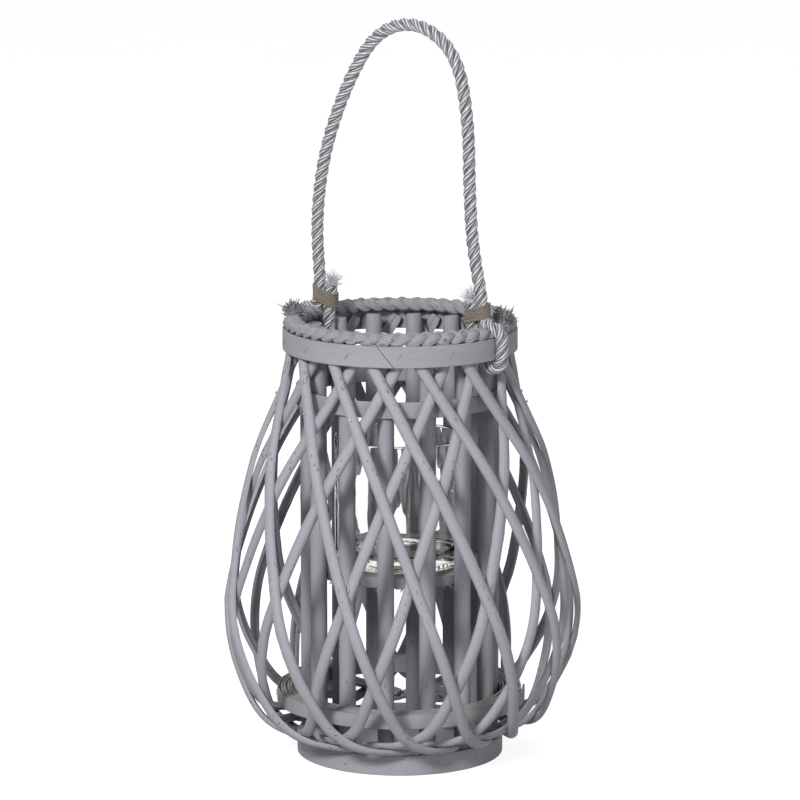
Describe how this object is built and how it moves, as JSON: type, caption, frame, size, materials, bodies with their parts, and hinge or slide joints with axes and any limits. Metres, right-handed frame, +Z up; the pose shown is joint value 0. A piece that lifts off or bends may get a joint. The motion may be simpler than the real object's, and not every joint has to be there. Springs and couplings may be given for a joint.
{
  "type": "hurricane candle lantern",
  "caption": "Painted willow lattice lantern with a pear-shaped bulge, glass candle jar on an inner shelf and a swinging rope handle.",
  "frame": {"origin": "centre of the foot band's underside, on the floor", "axes": "+Z up, -Y towards the front, where the top band's slanting joint is; the two rope ties are at 53.5 degrees right of the front and opposite"},
  "size_m": [0.2477, 0.2463, 0.509],
  "materials": {
    "painted_willow": "matt lavender-grey paint on round and split willow",
    "painted_strip": "matt lavender-grey paint on a flat split strip",
    "raw_edged_strip": "matt grey paint on the outer face, worn brown-grey edges",
    "painted_board": "matt grey paint on a rough sawn board",
    "painted_rush": "matt grey paint on plaited rush",
    "clear_glass": "clear pressed glass, polished",
    "silver_rope": "silky silver-grey laid rope",
    "jute_twine": "brown jute twine",
    "steel_wire": "fine wire, painted over"
  },
  "bodies": {
    "lantern": {"coil_hoop": "raw_edged_strip", "coil_staples": "steel_wire", "crossing_pins": "steel_wire", "foot_band": "painted_strip", "foot_band_staples": "steel_wire", "inner_rod_01": "painted_willow", "inner_rod_02": "painted_willow", "inner_rod_03": "painted_willow", "inner_rod_04": "painted_willow", "inner_rod_05": "painted_willow", "inner_rod_06": "painted_willow", "inner_rod_07": "painted_willow", "inner_rod_08": "painted_willow", "inner_rod_09": "painted_willow", "inner_rod_10": "painted_willow", "inner_rod_11": "painted_willow", "inner_rod_12": "painted_willow", "inner_rod_13": "painted_willow", "inner_rod_14": "painted_willow", "left_rope_loop": "silver_rope", "left_twine_binding": "jute_twine", "outer_rod_01": "painted_willow", "outer_rod_02": "painted_willow", "outer_rod_03": "painted_willow", "outer_rod_04": "painted_willow", "outer_rod_05": "painted_willow", "outer_rod_06": "painted_willow", "outer_rod_07": "painted_willow", "outer_rod_08": "painted_willow", "outer_rod_09": "painted_willow", "outer_rod_10": "painted_willow", "outer_rod_11": "painted_willow", "outer_rod_12": "painted_willow", "outer_rod_13": "painted_willow", "outer_rod_14": "painted_willow", "right_rope_loop": "silver_rope", "right_twine_binding": "jute_twine", "rim_plait_back": "painted_rush", "rim_plait_front": "painted_rush", "shelf_disc": "painted_board", "top_band": "painted_strip", "top_band_staples": "steel_wire", "upper_hoop": "painted_strip", "upright_01": "painted_willow", "upright_02": "painted_willow", "upright_03": "painted_willow", "upright_04": "painted_willow", "upright_05": "painted_willow", "upright_06": "painted_willow", "upright_07": "painted_willow", "upright_08": "painted_willow", "upright_09": "painted_willow", "upright_10": "painted_willow", "upright_11": "painted_willow", "upright_12": "painted_willow", "upright_13": "painted_willow", "upright_14": "painted_willow"},
    "handle": {"handle_rope": "silver_rope"},
    "glass": {"glass_jar": "clear_glass"}
  },
  "joints": [
    {"name": "handle_swing", "type": "hinge", "parent": "lantern", "child": "handle", "pos_m": [0, 0, 0.323], "axis": [0.8039, -0.5948, 0], "range_deg": [-90, 90]},
    {"name": "glass_lift", "type": "slide", "parent": "lantern", "child": "glass", "axis": [0, 0, 1], "range_m": [0, 0.178]}
  ]
}
